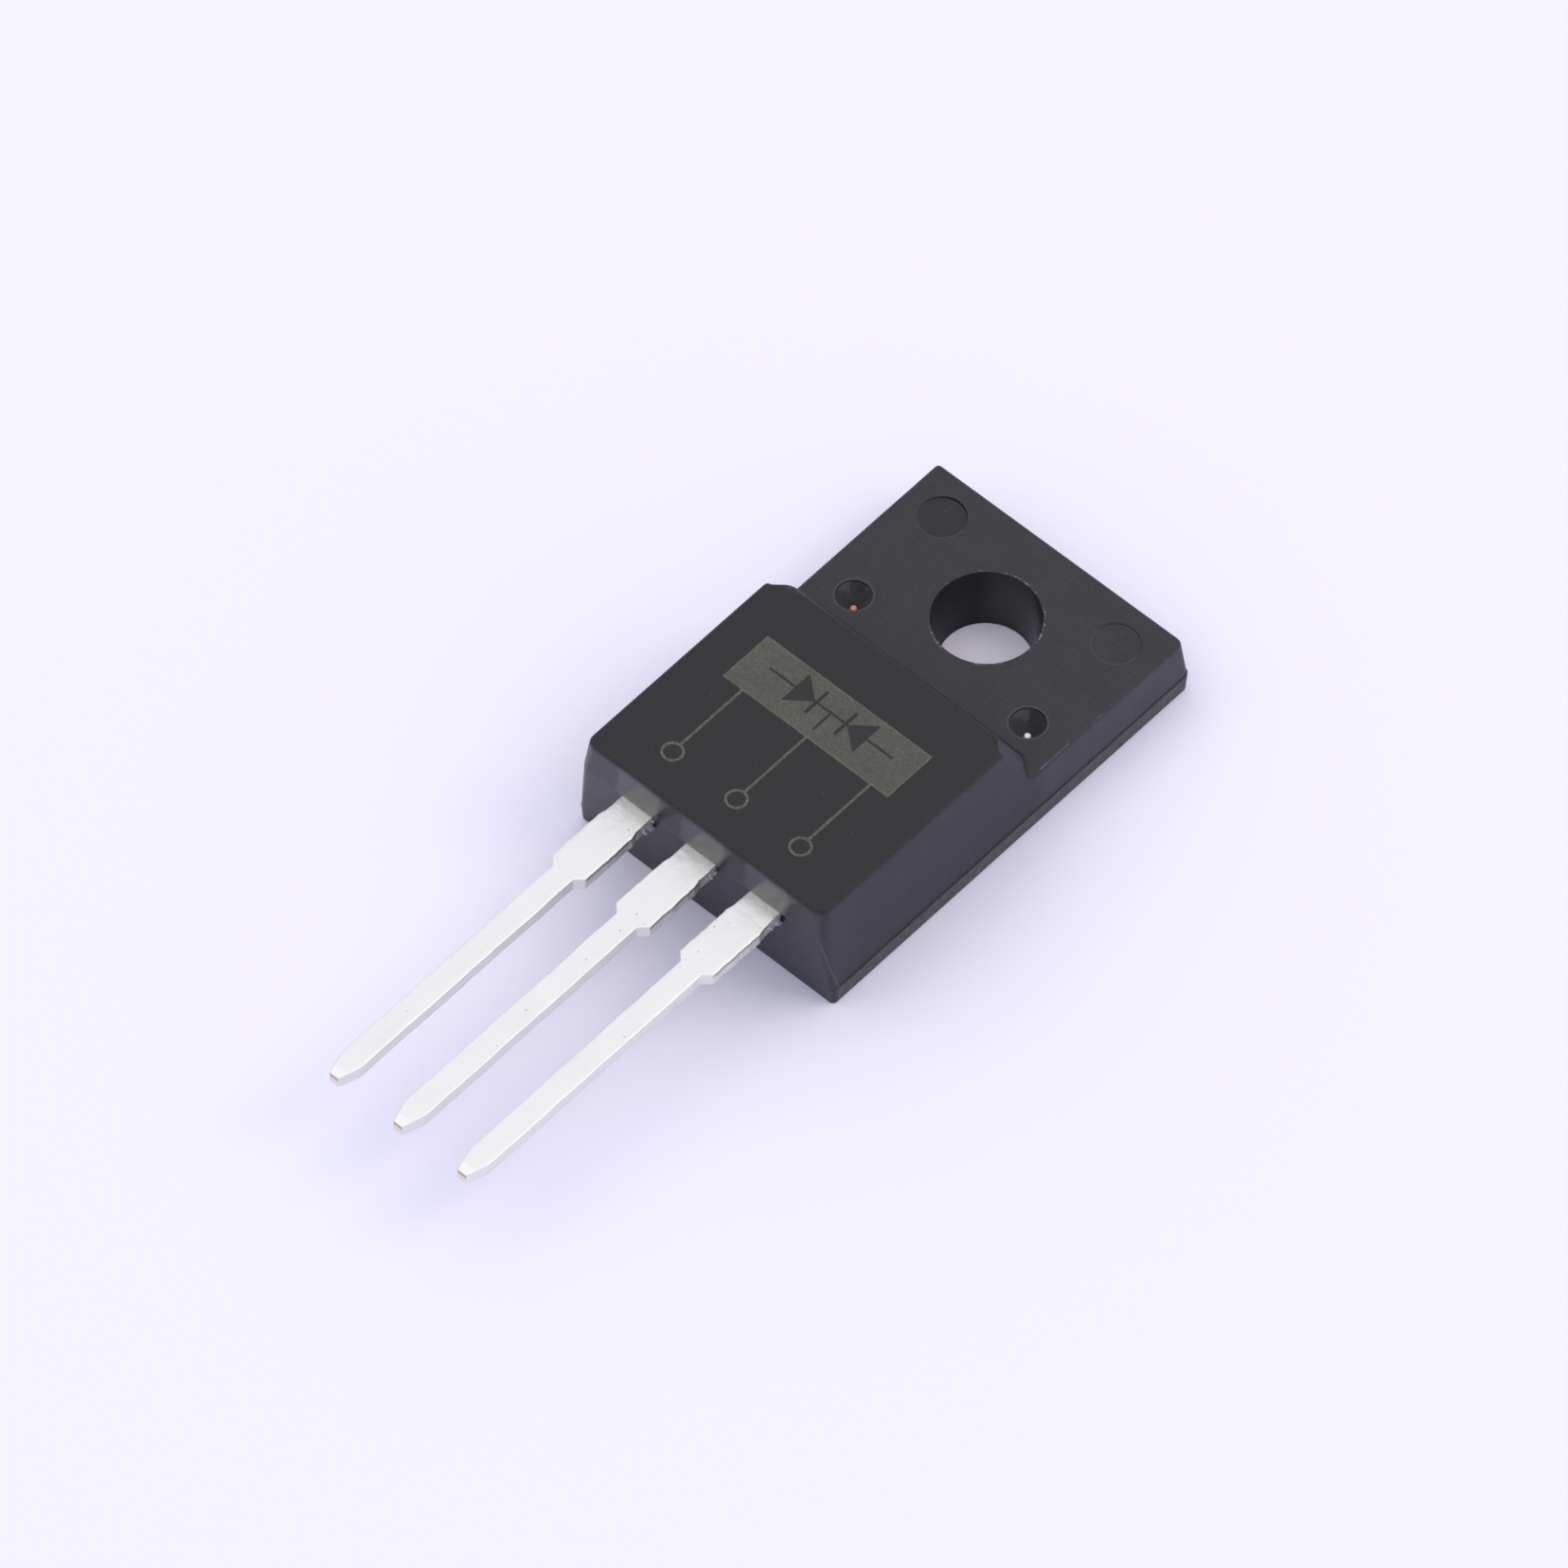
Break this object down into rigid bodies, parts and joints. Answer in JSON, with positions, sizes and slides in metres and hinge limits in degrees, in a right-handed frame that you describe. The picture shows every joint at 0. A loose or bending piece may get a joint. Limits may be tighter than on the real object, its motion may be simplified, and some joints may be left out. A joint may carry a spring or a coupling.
{
  "type": "dual schottky diode in a full-pack three-lead power package",
  "caption": "Flat black moulded power diode with a raised front, a thin tab with a screw hole, and straight tinned leads in a row.",
  "frame": {"origin": "centre of the whole object's box in plan, on the flat back face that meets a heatsink", "axes": "+Z out of the marked face, +Y along the body towards the screw hole, +X across the leads; the leads point to -Y"},
  "size_m": [0.0102, 0.029, 0.0043],
  "materials": {
    "epoxy": "matte black filled epoxy with a faint grain, semi-gloss on the lead end",
    "tinned_copper": "satin tin plating over copper, bare copper where it was sheared",
    "silicon": "polished grey silicon",
    "solder": "dull grey solder",
    "aluminium_wire": "smooth drawn wire"
  },
  "bodies": {
    "root": {"mould_body": "epoxy", "cathode_lead_and_pad": "tinned_copper", "anode_lead_left": "tinned_copper", "anode_lead_right": "tinned_copper", "chip_left": "silicon", "chip_right": "silicon", "solder_left": "solder", "solder_right": "solder", "bond_wire_left_outer": "aluminium_wire", "bond_wire_left_inner": "aluminium_wire", "bond_wire_right_outer": "aluminium_wire", "bond_wire_right_inner": "aluminium_wire"}
  },
  "joints": []
}
